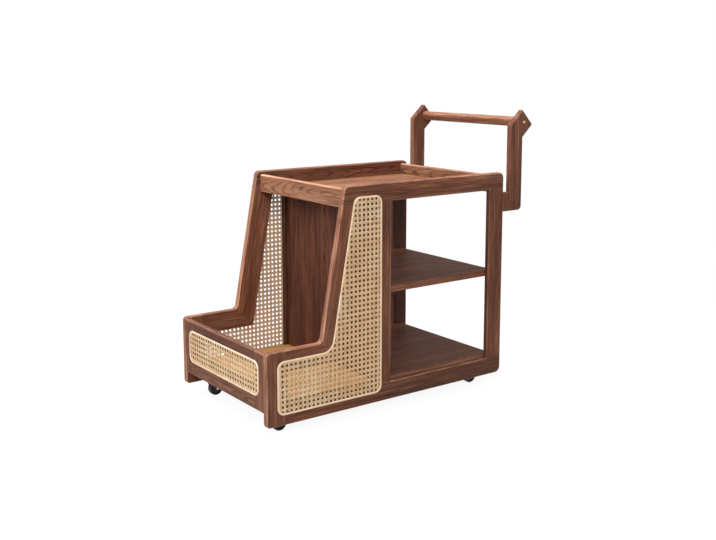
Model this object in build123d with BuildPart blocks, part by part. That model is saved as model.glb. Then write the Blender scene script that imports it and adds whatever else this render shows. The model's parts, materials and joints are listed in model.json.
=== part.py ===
from build123d import *
import os
from math import cos, radians, sin, tan

# A rolling side table: two wooden side frames carry a low bin in front, two open
# shelf bays behind it, a tray on top and a push handle at the rear. Woven cane
# closes the bin's sides and front. Four swivelling casters carry the table.
# X runs from the low front to the handle, Y across the table and Z up. The floor is
# Z = 0, and the origin is under the middle of the whole outline. "Left" is the side
# at negative Y, as seen by someone who pushes the handle.

os.makedirs("parts", exist_ok=True)

# Side frames, with heights from the bottom edge of the frame
frame_length = 700
frame_height = 518
table_width = 400
board_thickness = 15
floor_clearance = 29
arris_width = 2.5

bottom_rail_height = 44
top_rail_height = 42
low_rail_height = 48
low_front_height = 170
front_post_width = 52
rear_post_width = 48
mid_post_width = 50
mid_post_inset = 292
low_front_length = 145.5
slant_angle = 10.5
slant_post_width = 55

front_toe_radius = 11
low_front_radius = 9
knee_radius = 13
slant_top_radius = 11
rear_top_radius = 15
rear_heel_radius = 15

# Handle arms, which continue the side frames behind the rear posts. The drop and the rise
# are measured from the top edge of the frame. The head tilts to the rear, so that its length and its
# end, as wide as the head, meet at a right angle in the highest corner.
arm_width = 44
arm_gap = 20
lug_drop_height = 52
lug_height = 48.5
arm_rise_height = 155
head_angle = 43
head_length = 56.5
head_width = 53
arm_heel_radius = 11
head_corner_radius = 3

# Handle bar and the screws that hold it
bar_diameter = 25
bar_socket_depth = 5
bar_end_distance = 18
handle_screw_diameter = 5
handle_screw_length = 40
handle_screw_head_diameter = 7
handle_screw_head_height = 1.6

# Joints between the boards
tenon_thickness = 6
tenon_length = 15
tenon_shoulder_width = 8
knee_tenon_length = 30
knee_tenon_width = 24
loose_tenon_thickness = 4
loose_tenon_width = 24
short_tenon_width = 12
loose_tenon_depth = 10
tenon_cover_thickness = 2

# Cane webbing and the spline that holds its edge in a groove
webbing_thickness = 1.2
spline_width = 5.5
spline_height = 2
groove_depth = 2.5
spline_corner_radius = 18
spline_knee_radius = 28
spline_front_margin = 27.5
spline_bottom_margin = 23
spline_top_margin = 26
spline_low_top_margin = 23
spline_slant_margin = 30.5
spline_post_overlap_width = 22

# Front panel
front_offset = 1
panel_lift_height = 31
panel_top_drop_height = 4.5
panel_edge_radius = 4
stile_width = 38
panel_bottom_rail_height = 52
panel_top_rail_height = 40
panel_spline_side_margin = 19.5
panel_spline_bottom_margin = 32
panel_spline_top_margin = 21

# Boards across the table, with heights from the bottom edge of the frame and drops from its top
shelf_thickness = 15
floor_board_height = 51
middle_shelf_height = 270
tray_drop_height = 36
tray_thickness = 9
tray_tongue_length = 5
tray_tongue_thickness = 5
cross_rail_height = 43
front_cross_rail_drop_height = 9
rear_cross_rail_drop_height = 8
front_cross_rail_offset = 9.5
rear_cross_rail_inset = 10.5
housing_depth = 3
shelf_inset = 20
divider_offset = 6
shelf_arris_width = 2
cross_rail_arris_width = 4
batten_thickness = 18
batten_width = 40

# Casters
wheel_diameter = 35
wheel_width = 17
caster_trail_length = 10
front_caster_inset = 50.5
rear_caster_inset = 72.5
caster_side_inset = 50
plate_width = 42
plate_thickness = 2
race_diameter = 26
race_height = 3
swivel_gap = 0.3
fork_plate_thickness = 2
fork_leg_thickness = 1.8
fork_leg_width = 14
fork_leg_bevel_width = 4
fork_plate_length = 22
wheel_side_gap = 0.9
kingpin_diameter = 6
kingpin_head_diameter = 11
kingpin_head_height = 1.8
axle_diameter = 5
axle_rivet_height = 1
turning_clearance = 0.05

# Positions worked out from the sizes above
head_sin = sin(radians(head_angle))
head_cos = cos(radians(head_angle))
head_reach = head_length * head_cos + head_width * head_sin
corner_loss = head_corner_radius * (head_sin + head_cos - 1)
overall_length = frame_length + arm_gap + head_reach - corner_loss
front_x = -overall_length / 2
rear_x = front_x + frame_length
frame_bottom = floor_clearance
frame_top = frame_bottom + frame_height
low_top = frame_bottom + low_front_height
bottom_rail_top = frame_bottom + bottom_rail_height
top_rail_bottom = frame_top - top_rail_height
low_rail_bottom = low_top - low_rail_height
front_post_x = front_x + front_post_width
rear_post_x = rear_x - rear_post_width
mid_post_x = front_x + mid_post_inset
mid_post_rear_x = mid_post_x + mid_post_width
arm_x = rear_x + arm_gap
arm_rear_x = arm_x + arm_width
apex_z = frame_top + arm_rise_height
lug_top = frame_top - lug_drop_height
lug_z = lug_top - lug_height
apex_x = arm_x + head_length * head_cos
shoulder_z = apex_z - head_length * head_sin
head_end_x = arm_x + head_reach
head_end_z = apex_z - head_width * head_cos
neck_z = head_end_z - (head_end_x - arm_rear_x) * head_sin / head_cos
bar_x = (apex_x + head_end_x) / 2 - bar_end_distance * head_cos
bar_z = (apex_z + head_end_z) / 2 - bar_end_distance * head_sin

outer_y = table_width / 2
inner_y = outer_y - board_thickness
slant_tan = tan(radians(slant_angle))
slant_cos = cos(radians(slant_angle))
slant_run = slant_post_width / slant_cos

panel_x = front_x + front_offset
panel_rear_x = panel_x + board_thickness
panel_bottom = frame_bottom + panel_lift_height
panel_top = low_top - panel_top_drop_height
floor_top = frame_bottom + floor_board_height
floor_underside = floor_top - shelf_thickness
housing_z = floor_top - housing_depth
shelf_top = frame_bottom + middle_shelf_height
tray_z = frame_top - tray_drop_height
tray_underside = tray_z - tray_thickness
front_cross_rail_top = frame_top - front_cross_rail_drop_height
rear_cross_rail_top = frame_top - rear_cross_rail_drop_height
divider_x = mid_post_x + divider_offset
divider_rear_x = divider_x + shelf_thickness
shelf_end_x = rear_x - shelf_inset
batten_underside = floor_underside - batten_thickness
slant_top_x = front_x + low_front_length + (frame_top - low_top) * slant_tan
front_rail_x = slant_top_x + front_cross_rail_offset
front_rail_rear_x = front_rail_x + shelf_thickness
rear_rail_rear_x = rear_x - rear_cross_rail_inset
rear_rail_x = rear_rail_rear_x - shelf_thickness

side_plane = Plane.XZ.offset(inner_y)
panel_plane = Plane(origin=(panel_rear_x, 0, 0), x_dir=(0, -1, 0), z_dir=(-1, 0, 0))


def slant_x(z):
    """Where the front edge of a slanted post lies at a height."""
    return front_x + low_front_length + (z - low_top) * slant_tan


def write(piece, label):
    """Label a finished piece and write it as its own file."""
    piece.part.label = label
    export_step(piece.part, f"parts/{label}.step")


def write_pair(left, label):
    """Write a piece of the left side and its mirror image on the right side."""
    with BuildPart() as right:
        mirror(left.part, about=Plane.XZ)
    write(left, f"left_{label}")
    write(right, f"right_{label}")


def rectangle_between(low_corner, high_corner, mode=Mode.ADD):
    """Rectangle of the current sketch between two opposite corners."""
    width = high_corner[0] - low_corner[0]
    height = high_corner[1] - low_corner[1]
    with Locations(low_corner):
        Rectangle(width, height, align=(Align.MIN, Align.MIN), mode=mode)


def quarter_points(low, high):
    """The two places a quarter of the way in from either end."""
    quarter = (high - low) / 4
    return low + quarter, high - quarter


# Loose tenons join the cross boards to the side frames: (x, z, width, turn in degrees)
upright = 90
floor_tenon_z = (floor_underside + bottom_rail_top) / 2
shelf_z = shelf_top - shelf_thickness / 2
divider_middle_x = divider_x + shelf_thickness / 2
cross_tenon_z = front_cross_rail_top - tenon_cover_thickness - short_tenon_width / 2
floor_tenons_x = quarter_points(front_post_x, mid_post_x) + quarter_points(mid_post_rear_x, rear_post_x)
divider_tenons_z = quarter_points(floor_top, tray_underside)
loose_tenons_at = [
    *((x, floor_tenon_z, loose_tenon_width, 0) for x in floor_tenons_x),
    *((divider_middle_x, z, loose_tenon_width, upright) for z in divider_tenons_z),
    ((divider_rear_x + mid_post_rear_x) / 2, shelf_z, loose_tenon_width, 0),
    ((rear_post_x + shelf_end_x) / 2, shelf_z, loose_tenon_width, 0),
    (front_rail_x + shelf_thickness / 2, cross_tenon_z, short_tenon_width, upright),
    (rear_rail_x + shelf_thickness / 2, cross_tenon_z, short_tenon_width, upright),
    (panel_x + board_thickness / 2, (bottom_rail_top + low_rail_bottom) / 2, loose_tenon_width, upright),
]
with BuildPart() as left_loose_tenons:
    with BuildSketch(side_plane):
        for x, z, width, turn in loose_tenons_at:
            with Locations((x, z)):
                Rectangle(width, loose_tenon_thickness, rotation=turn)
    extrude(amount=loose_tenon_depth, both=True)
write_pair(left_loose_tenons, "loose_tenons")


def cut_loose_tenons():
    """Mortise the current piece for every loose tenon that reaches into it."""
    add(left_loose_tenons.part, mode=Mode.SUBTRACT)
    mirror(left_loose_tenons.part, about=Plane.XZ, mode=Mode.SUBTRACT)


# Webbing outlines
def side_spline_line(inset=0):
    """Outer edge of the spline round the side webbing, or a line inset from it."""
    low = frame_bottom + spline_bottom_margin + inset
    high = frame_top - spline_top_margin - inset
    knee_z = low_top - spline_low_top_margin - inset
    front = front_x + spline_front_margin + inset
    rear = mid_post_x + spline_post_overlap_width - inset
    slant_margin = spline_slant_margin + inset / slant_cos
    corner = spline_corner_radius - inset
    FilletPolyline(
        (front, low),
        (rear, low),
        (rear, high),
        (slant_x(high) + slant_margin, high),
        (slant_x(knee_z) + slant_margin, knee_z),
        (front, knee_z),
        radius=[corner, corner, corner, corner, spline_knee_radius + inset, corner],
        close=True,
    )


def panel_spline_line(inset=0):
    """Outer edge of the spline round the front webbing, or a line inset from it."""
    half = inner_y - panel_spline_side_margin - inset
    low = panel_bottom + panel_spline_bottom_margin + inset
    high = panel_top - panel_spline_top_margin - inset
    corners = [(-half, low), (half, low), (half, high), (-half, high)]
    FilletPolyline(*corners, radius=spline_corner_radius - inset, close=True)


def spline_face(spline_line, inset=0):
    """Area inside the spline's outer edge, or inside a line inset from it."""
    with BuildSketch() as area:
        with BuildLine():
            spline_line(inset)
        make_face()
    return area.sketch


def spline_band(spline_line):
    """Closed band as wide as the spline."""
    with BuildSketch() as band:
        add(spline_face(spline_line))
        add(spline_face(spline_line, spline_width), mode=Mode.SUBTRACT)
    return band.sketch


def webbing_sheet(inner_face, spline_line):
    """Flat woven sheet that lies on the wood inside its spline."""
    inside = spline_face(spline_line, spline_width)
    with BuildPart() as sheet:
        with BuildSketch(inner_face.offset(board_thickness)):
            add(inside)
        extrude(amount=webbing_thickness)
    return sheet


def spline_ring(inner_face, spline_line):
    """Cord that sits in the groove and stands proud of the wood."""
    band = spline_band(spline_line)
    with BuildPart() as ring:
        with BuildSketch(inner_face.offset(board_thickness - groove_depth)):
            add(band)
        extrude(amount=groove_depth + spline_height)
    return ring


def spline_groove(inner_face, spline_line):
    """Groove in the outer face of a frame that takes the spline."""
    band = spline_band(spline_line)
    with BuildPart() as groove:
        with BuildSketch(inner_face.offset(board_thickness - groove_depth)):
            add(band)
        extrude(amount=groove_depth)
    return groove


def frame_board(blank, inner_face, region, tenons=(), mortises=(), cut=None):
    """One board of a frame: a region of the blank, its tenons and its mortises."""
    tenon_plane = inner_face.offset((board_thickness - tenon_thickness) / 2)
    with BuildPart() as piece:
        add(blank.part)
        with BuildSketch(inner_face):
            with BuildLine():
                Polyline(*region, close=True)
            make_face()
        extrude(amount=board_thickness, mode=Mode.INTERSECT)
        if tenons:
            with BuildSketch(tenon_plane):
                for tenon in tenons:
                    rectangle_between(*tenon)
            extrude(amount=tenon_thickness)
        if mortises:
            with BuildSketch(tenon_plane):
                for mortise in mortises:
                    rectangle_between(*mortise)
            extrude(amount=tenon_thickness, mode=Mode.SUBTRACT)
        if cut:
            add(cut.part, mode=Mode.SUBTRACT)
    return piece


def box_region(low_x, low_z, high_x, high_z):
    """Corners of an upright rectangle."""
    return [(low_x, low_z), (high_x, low_z), (high_x, high_z), (low_x, high_z)]


side_groove = spline_groove(side_plane, side_spline_line)
panel_groove = spline_groove(panel_plane, panel_spline_line)

# Side frame and handle arm in one flush outline, before it is divided into boards
with BuildPart() as side_blank:
    with BuildSketch(side_plane):
        with BuildLine():
            FilletPolyline(
                (front_x, frame_bottom),
                (rear_x, frame_bottom),
                (rear_x, lug_z),
                (arm_rear_x, lug_z),
                (arm_rear_x, neck_z),
                (head_end_x, head_end_z),
                (apex_x, apex_z),
                (arm_x, shoulder_z),
                (arm_x, lug_top),
                (rear_x, lug_top),
                (rear_x, frame_top),
                (slant_top_x, frame_top),
                (slant_x(low_top), low_top),
                (front_x, low_top),
                radius=[
                    front_toe_radius,
                    rear_heel_radius,
                    0,
                    arm_heel_radius,
                    0,
                    head_corner_radius,
                    head_corner_radius,
                    head_corner_radius,
                    0,
                    0,
                    rear_top_radius,
                    slant_top_radius,
                    knee_radius,
                    low_front_radius,
                ],
                close=True,
            )
        make_face()
        rectangle_between(
            (mid_post_rear_x, bottom_rail_top), (rear_post_x, top_rail_bottom), Mode.SUBTRACT
        )
    extrude(amount=board_thickness)
    chamfer(side_blank.faces().filter_by(Axis.Y).edges(), arris_width)
    with BuildSketch(side_plane):
        with BuildLine():
            Polyline(
                (front_post_x, bottom_rail_top),
                (mid_post_x, bottom_rail_top),
                (mid_post_x, top_rail_bottom),
                (slant_x(top_rail_bottom) + slant_run, top_rail_bottom),
                (slant_x(low_rail_bottom) + slant_run, low_rail_bottom),
                (front_post_x, low_rail_bottom),
                close=True,
            )
        make_face()
    extrude(amount=board_thickness, mode=Mode.SUBTRACT)
    add(side_groove.part, mode=Mode.SUBTRACT)
    cut_loose_tenons()

# Tenons of the side frame, each as two opposite corners
front_bottom_tenon = (
    (front_post_x - tenon_length, frame_bottom + tenon_shoulder_width),
    (front_post_x, bottom_rail_top - tenon_shoulder_width),
)
front_low_tenon = (
    (front_post_x - tenon_length, low_rail_bottom + tenon_shoulder_width),
    (front_post_x, low_top - tenon_shoulder_width),
)
mid_foot_tenon = (
    (mid_post_x + tenon_shoulder_width, bottom_rail_top - tenon_length),
    (mid_post_rear_x - tenon_shoulder_width, bottom_rail_top),
)
mid_top_tenon = (
    (mid_post_x + tenon_shoulder_width, top_rail_bottom),
    (mid_post_rear_x - tenon_shoulder_width, top_rail_bottom + tenon_length),
)
rear_foot_tenon = (
    (rear_post_x + tenon_shoulder_width, bottom_rail_top - tenon_length),
    (rear_x - tenon_shoulder_width, bottom_rail_top),
)
rear_top_tenon = (
    (rear_post_x + tenon_shoulder_width, top_rail_bottom),
    (rear_x - tenon_shoulder_width, top_rail_bottom + tenon_length),
)
slant_top_tenon = (
    (slant_x(top_rail_bottom) + tenon_shoulder_width, top_rail_bottom),
    (slant_x(top_rail_bottom) + slant_run - tenon_shoulder_width, top_rail_bottom + tenon_length),
)
lug_tenon = (
    (rear_x - tenon_length, lug_z + tenon_shoulder_width),
    (rear_x, lug_top - tenon_shoulder_width),
)

# Knee seam, from the inner corner of the opening out through the rounded corner
knee_inner = Vector(slant_x(low_rail_bottom) + slant_run, low_rail_bottom)
knee_outer = Vector(slant_x(low_top), low_top)
knee_direction = (knee_outer - knee_inner).normalized()
knee_middle = (knee_inner + knee_outer) / 2
knee_beyond = knee_outer + knee_direction * knee_radius
knee_turn = Vector(1, 0).get_signed_angle(knee_direction)

with BuildPart() as left_knee_tenon:
    with BuildSketch(side_plane.offset((board_thickness - tenon_thickness) / 2)):
        with Locations(knee_middle):
            Rectangle(knee_tenon_width, knee_tenon_length, rotation=knee_turn)
    extrude(amount=tenon_thickness)

left_front_post = frame_board(
    side_blank,
    side_plane,
    box_region(front_x, frame_bottom, front_post_x, low_top),
    mortises=[front_bottom_tenon, front_low_tenon],
)
left_bottom_rail = frame_board(
    side_blank,
    side_plane,
    box_region(front_post_x, frame_bottom, rear_x, bottom_rail_top),
    tenons=[front_bottom_tenon],
    mortises=[mid_foot_tenon, rear_foot_tenon],
)
left_low_rail = frame_board(
    side_blank,
    side_plane,
    [
        (front_post_x, low_rail_bottom),
        knee_inner,
        knee_beyond,
        (front_post_x, knee_beyond.Y),
    ],
    tenons=[front_low_tenon],
    cut=left_knee_tenon,
)
left_slant_post = frame_board(
    side_blank,
    side_plane,
    [
        knee_inner,
        (slant_x(top_rail_bottom) + slant_run, top_rail_bottom),
        (slant_x(top_rail_bottom), top_rail_bottom),
        (slant_x(knee_beyond.Y), knee_beyond.Y),
        knee_beyond,
    ],
    tenons=[slant_top_tenon],
    cut=left_knee_tenon,
)
left_top_rail = frame_board(
    side_blank,
    side_plane,
    box_region(slant_x(low_top), top_rail_bottom, rear_x, frame_top),
    mortises=[slant_top_tenon, mid_top_tenon, rear_top_tenon],
)
left_mid_post = frame_board(
    side_blank,
    side_plane,
    box_region(mid_post_x, bottom_rail_top, mid_post_rear_x, top_rail_bottom),
    tenons=[mid_foot_tenon, mid_top_tenon],
)
left_rear_post = frame_board(
    side_blank,
    side_plane,
    box_region(rear_post_x, bottom_rail_top, rear_x, top_rail_bottom),
    tenons=[rear_foot_tenon, rear_top_tenon],
    mortises=[lug_tenon],
)

# Handle arm, with a blind socket for the bar and a hole for its screw
arm_blank = frame_board(
    side_blank,
    side_plane,
    box_region(rear_x, lug_z, head_end_x, apex_z),
    tenons=[lug_tenon],
)
with BuildPart() as left_handle_arm:
    add(arm_blank.part)
    with BuildSketch(side_plane):
        with Locations((bar_x, bar_z)):
            Circle(bar_diameter / 2)
    extrude(amount=bar_socket_depth, mode=Mode.SUBTRACT)
    with BuildSketch(side_plane):
        with Locations((bar_x, bar_z)):
            Circle(handle_screw_diameter / 2)
    extrude(amount=board_thickness, mode=Mode.SUBTRACT)

write_pair(left_front_post, "front_post")
write_pair(left_bottom_rail, "bottom_rail")
write_pair(left_low_rail, "low_rail")
write_pair(left_slant_post, "slant_post")
write_pair(left_top_rail, "top_rail")
write_pair(left_mid_post, "mid_post")
write_pair(left_rear_post, "rear_post")
write_pair(left_knee_tenon, "knee_tenon")
write_pair(left_handle_arm, "handle_arm")
write_pair(webbing_sheet(side_plane, side_spline_line), "webbing")
write_pair(spline_ring(side_plane, side_spline_line), "webbing_spline")

# Handle bar, drilled at both ends, and its two screws
with BuildPart() as handle_bar:
    with BuildSketch(Plane.XZ):
        with Locations((bar_x, bar_z)):
            Circle(bar_diameter / 2)
    extrude(amount=inner_y + bar_socket_depth, both=True)
    with BuildSketch(Plane.XZ.offset(outer_y - handle_screw_length)):
        with Locations((bar_x, bar_z)):
            Circle(handle_screw_diameter / 2)
    bore = extrude(amount=handle_screw_length, mode=Mode.SUBTRACT)
    mirror(bore, about=Plane.XZ, mode=Mode.SUBTRACT)
write(handle_bar, "handle_bar")

with BuildPart() as handle_screws:
    with BuildSketch(Plane.XZ.offset(outer_y - handle_screw_length)):
        with Locations((bar_x, bar_z)):
            Circle(handle_screw_diameter / 2)
    extrude(amount=handle_screw_length)
    with BuildSketch(Plane.XZ.offset(outer_y)):
        with Locations((bar_x, bar_z)):
            Circle(handle_screw_head_diameter / 2)
    extrude(amount=handle_screw_head_height)
    mirror(about=Plane.XZ)
write(handle_screws, "handle_screws")

# Front panel between the side frames, divided into stiles and rails
opening_half = inner_y - stile_width
opening_low = panel_bottom + panel_bottom_rail_height
opening_high = panel_top - panel_top_rail_height
with BuildPart() as panel_blank:
    with BuildSketch(panel_plane):
        rectangle_between((-inner_y, panel_bottom), (inner_y, panel_top))
        rectangle_between((-opening_half, opening_low), (opening_half, opening_high), Mode.SUBTRACT)
    extrude(amount=board_thickness)
    long_edges = panel_blank.edges().filter_by(Axis.Y)
    fillet(long_edges.group_by(Axis.Z)[0] + long_edges.group_by(Axis.Z)[-1], panel_edge_radius)
    add(panel_groove.part, mode=Mode.SUBTRACT)
    cut_loose_tenons()


def panel_tenon(low_z, high_z):
    """Left tenon of a panel rail, as two opposite corners."""
    return (
        (opening_half, low_z + tenon_shoulder_width),
        (opening_half + tenon_length, high_z - tenon_shoulder_width),
    )


def right_hand(tenon):
    """The same tenon at the panel's other end."""
    return ((-tenon[1][0], tenon[0][1]), (-tenon[0][0], tenon[1][1]))


panel_low_tenon = panel_tenon(panel_bottom, opening_low)
panel_top_tenon = panel_tenon(opening_high, panel_top)
left_panel_stile = frame_board(
    panel_blank,
    panel_plane,
    box_region(opening_half, panel_bottom, inner_y, panel_top),
    mortises=[panel_low_tenon, panel_top_tenon],
)
panel_bottom_rail = frame_board(
    panel_blank,
    panel_plane,
    box_region(-opening_half, panel_bottom, opening_half, opening_low),
    tenons=[panel_low_tenon, right_hand(panel_low_tenon)],
)
panel_top_rail = frame_board(
    panel_blank,
    panel_plane,
    box_region(-opening_half, opening_high, opening_half, panel_top),
    tenons=[panel_top_tenon, right_hand(panel_top_tenon)],
)
write_pair(left_panel_stile, "panel_stile")
write(panel_bottom_rail, "panel_bottom_rail")
write(panel_top_rail, "panel_top_rail")
write(webbing_sheet(panel_plane, panel_spline_line), "panel_webbing")
write(spline_ring(panel_plane, panel_spline_line), "panel_webbing_spline")


# Boards across the table
def cross_board(low_corner, high_corner, rounded_group=None, rounding=0, tongue=None):
    """Board between the side frames, from two corners of its side profile."""
    with BuildPart() as piece:
        with BuildSketch(Plane.XZ):
            rectangle_between(low_corner, high_corner)
        extrude(amount=inner_y, both=True)
        if rounded_group:
            fillet(rounded_group(piece.edges().filter_by(Axis.Y)), rounding)
        if tongue:
            add(tongue.part, mode=Mode.SUBTRACT)
        cut_loose_tenons()
    return piece


def rear_edges(edges):
    """The edges furthest to the rear."""
    return edges.group_by(Axis.X)[-1]


def top_edges(edges):
    """The highest edges."""
    return edges.group_by(Axis.Z)[-1]


plain_floor_board = cross_board(
    (panel_rear_x, floor_underside), (shelf_end_x, floor_top), rear_edges, shelf_arris_width
)
with BuildPart() as floor_board:
    add(plain_floor_board.part)
    with BuildSketch(Plane.XZ):
        rectangle_between((divider_x, housing_z), (divider_rear_x, floor_top))
    extrude(amount=inner_y, both=True, mode=Mode.SUBTRACT)
middle_shelf = cross_board(
    (divider_rear_x, shelf_top - shelf_thickness), (shelf_end_x, shelf_top), rear_edges, shelf_arris_width
)
divider = cross_board((divider_x, housing_z), (divider_rear_x, tray_underside))
write(floor_board, "floor_board")
write(middle_shelf, "middle_shelf")
write(divider, "divider")

# The tray board has tongues along its lower face, which rest in grooves of the two cross rails
tray_tongues = cross_board(
    (front_rail_rear_x - tray_tongue_length, tray_underside),
    (rear_rail_x + tray_tongue_length, tray_underside + tray_tongue_thickness),
)
with BuildPart() as tray_board:
    add(tray_tongues.part)
    with BuildSketch(Plane.XZ):
        rectangle_between((front_rail_rear_x, tray_underside), (rear_rail_x, tray_z))
    extrude(amount=inner_y, both=True)
front_cross_rail = cross_board(
    (front_rail_x, front_cross_rail_top - cross_rail_height),
    (front_rail_rear_x, front_cross_rail_top),
    top_edges,
    cross_rail_arris_width,
    tray_board,
)
rear_cross_rail = cross_board(
    (rear_rail_x, rear_cross_rail_top - cross_rail_height),
    (rear_rail_rear_x, rear_cross_rail_top),
    top_edges,
    cross_rail_arris_width,
    tray_board,
)
write(tray_board, "tray_board")
write(front_cross_rail, "front_cross_rail")
write(rear_cross_rail, "rear_cross_rail")

# Casters
wheel_radius = wheel_diameter / 2
leg_inner_y = wheel_width / 2 + wheel_side_gap
leg_outer_y = leg_inner_y + fork_leg_thickness
race_z = batten_underside - plate_thickness - race_height
fork_top_z = race_z - swivel_gap
fork_plate_z = fork_top_z - fork_plate_thickness
kingpin_z = fork_plate_z - swivel_gap - kingpin_head_height


def caster_batten(label, caster_x):
    """Batten under the floor board that a pair of casters is screwed to."""
    with BuildPart() as batten:
        with BuildSketch(Plane.XZ):
            rectangle_between(
                (caster_x - batten_width / 2, batten_underside),
                (caster_x + batten_width / 2, floor_underside),
            )
        extrude(amount=inner_y, both=True)
    write(batten, label)


def caster_fork(x, y):
    """Swivelling fork: a flat top and two legs that taper to the axle."""
    axle_at = (x + caster_trail_length, wheel_radius)
    with BuildPart() as fork:
        with BuildSketch(Plane.XZ.offset(-y - leg_outer_y)):
            with Locations(axle_at):
                leg_end = Rectangle(fork_leg_width, fork_leg_width)
                chamfer(leg_end.vertices(), fork_leg_bevel_width)
            with Locations((x, fork_top_z - fork_plate_thickness / 2)):
                Rectangle(fork_plate_length, fork_plate_thickness)
            make_hull()
            with Locations(axle_at):
                Circle(axle_diameter / 2, mode=Mode.SUBTRACT)
        extrude(amount=2 * leg_outer_y)
        with BuildSketch(Plane.XZ.offset(-y - leg_inner_y)):
            rectangle_between(
                (x - fork_plate_length, 0), (x + caster_trail_length + wheel_diameter, fork_plate_z)
            )
        extrude(amount=2 * leg_inner_y, mode=Mode.SUBTRACT)
        with BuildSketch(Plane.XY.offset(fork_plate_z)):
            with Locations((x, y)):
                Circle(kingpin_diameter / 2 + turning_clearance)
        extrude(amount=fork_plate_thickness, mode=Mode.SUBTRACT)
    return fork


def caster_axle(x, y):
    """Axle pin through both legs of a fork, with its ends riveted over."""
    with BuildPart() as axle:
        with BuildSketch(Plane.XZ.offset(-y)):
            with Locations((x + caster_trail_length, wheel_radius)):
                Circle(axle_diameter / 2)
        extrude(amount=leg_outer_y + axle_rivet_height, both=True)
    return axle


def caster_wheel(x, y):
    """Wheel that turns on its axle pin."""
    with BuildPart() as wheel:
        with BuildSketch(Plane.XZ.offset(-y)):
            with Locations((x + caster_trail_length, wheel_radius)):
                Circle(wheel_radius)
                Circle(axle_diameter / 2 + turning_clearance, mode=Mode.SUBTRACT)
        extrude(amount=wheel_width / 2, both=True)
    return wheel


front_caster_x = front_x + front_caster_inset
rear_caster_x = rear_x - rear_caster_inset
caster_y = outer_y - caster_side_inset
caster_batten("front_caster_batten", front_caster_x)
caster_batten("rear_caster_batten", rear_caster_x)

# Caster plates, each with its pressed race and the riveted kingpin below it
caster_centres = [
    (front_caster_x, -caster_y),
    (front_caster_x, caster_y),
    (rear_caster_x, -caster_y),
    (rear_caster_x, caster_y),
]
with BuildPart() as caster_plates:
    with BuildSketch(Plane.XY.offset(batten_underside - plate_thickness)):
        with Locations(caster_centres):
            Rectangle(plate_width, plate_width)
    extrude(amount=plate_thickness)
    with BuildSketch(Plane.XY.offset(race_z)):
        with Locations(caster_centres):
            Circle(race_diameter / 2)
    extrude(amount=race_height)
    with BuildSketch(Plane.XY.offset(kingpin_z)):
        with Locations(caster_centres):
            Circle(kingpin_diameter / 2)
    extrude(amount=race_z - kingpin_z)
    with BuildSketch(Plane.XY.offset(kingpin_z)):
        with Locations(caster_centres):
            Circle(kingpin_head_diameter / 2)
    extrude(amount=kingpin_head_height)
write(caster_plates, "caster_plates")

caster_names = ["front_left", "front_right", "rear_left", "rear_right"]
for caster_name, (caster_x, side_y) in zip(caster_names, caster_centres):
    write(caster_fork(caster_x, side_y), f"{caster_name}_caster_fork")
    write(caster_axle(caster_x, side_y), f"{caster_name}_caster_axle")
    write(caster_wheel(caster_x, side_y), f"{caster_name}_caster_wheel")
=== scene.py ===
# %% [markdown]
# A rolling side table in dark wood and woven cane, dressed around its solid model.
# The solid model gives every board, joint and wheel its place. This lesson adds what solids leave
# plain: the open weave of the cane, the round reed that holds it, the turned wheels, the small
# screws, and the finish of every surface. All lengths are metres, in the frame of the solid model.

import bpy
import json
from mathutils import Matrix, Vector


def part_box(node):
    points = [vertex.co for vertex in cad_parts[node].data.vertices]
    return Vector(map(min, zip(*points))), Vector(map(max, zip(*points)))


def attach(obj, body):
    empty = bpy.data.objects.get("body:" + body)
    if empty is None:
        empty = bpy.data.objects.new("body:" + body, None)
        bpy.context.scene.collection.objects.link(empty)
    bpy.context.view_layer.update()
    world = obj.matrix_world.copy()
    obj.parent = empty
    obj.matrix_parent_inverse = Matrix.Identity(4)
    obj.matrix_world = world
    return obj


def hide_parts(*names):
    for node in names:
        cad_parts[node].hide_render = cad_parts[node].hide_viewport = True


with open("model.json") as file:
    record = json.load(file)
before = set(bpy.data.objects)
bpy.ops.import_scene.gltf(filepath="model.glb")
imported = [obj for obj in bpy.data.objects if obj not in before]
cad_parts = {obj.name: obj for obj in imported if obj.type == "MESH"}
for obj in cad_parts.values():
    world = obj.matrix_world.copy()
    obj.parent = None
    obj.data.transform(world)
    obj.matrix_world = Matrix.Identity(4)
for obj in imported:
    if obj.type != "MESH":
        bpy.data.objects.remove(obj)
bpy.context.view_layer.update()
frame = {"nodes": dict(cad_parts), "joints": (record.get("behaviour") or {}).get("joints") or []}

import json
import math
from typing import NamedTuple

import bmesh
import bpy
from mathutils import Matrix, Vector, noise

MM = 0.001
AXES = {"x": Vector((1, 0, 0)), "y": Vector((0, 1, 0)), "z": Vector((0, 0, 1))}
nodes = frame["nodes"]

# %% [markdown]
# A finish is easier to read as arithmetic than as a drawing of boxes and wires. This small class
# wraps one output socket. Adding or multiplying two of them makes the Math node that does it, and
# numbers may stand on either side. Every other node comes from the method `make`.

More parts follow.
